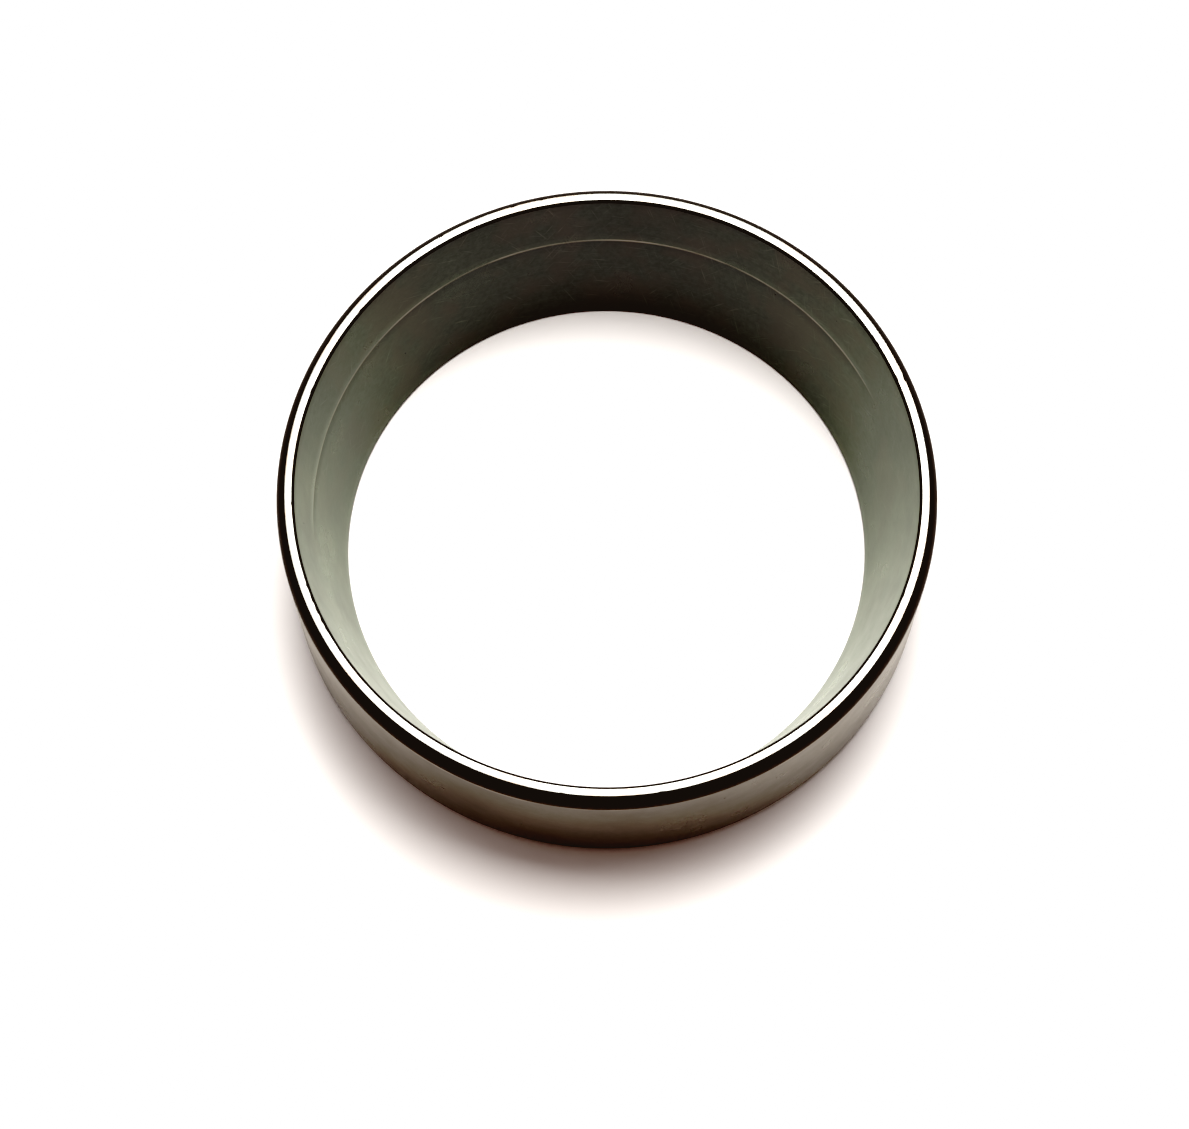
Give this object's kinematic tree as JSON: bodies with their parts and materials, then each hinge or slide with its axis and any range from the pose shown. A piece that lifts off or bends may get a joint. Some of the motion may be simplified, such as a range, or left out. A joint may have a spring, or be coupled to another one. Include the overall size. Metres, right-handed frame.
{
  "type": "tapered roller bearing outer ring",
  "caption": "Outer ring of a tapered roller bearing: a short steel ring with a conical raceway inside, a ground outside and flat ends.",
  "frame": {"origin": "centre of the wide back face, on the bearing's axis", "axes": "+Z along the bearing's axis, from the wide back face to the thin front face and the raceway's mouth; the ring is round, so +X and +Y are any two square directions across it"},
  "size_m": [0.0572, 0.0572, 0.0159],
  "materials": {
    "bearing_steel": "ground, with the rounded corner at each end of the outside left black from hardening"
  },
  "bodies": {
    "root": {"outer_ring": "bearing_steel"}
  },
  "joints": []
}
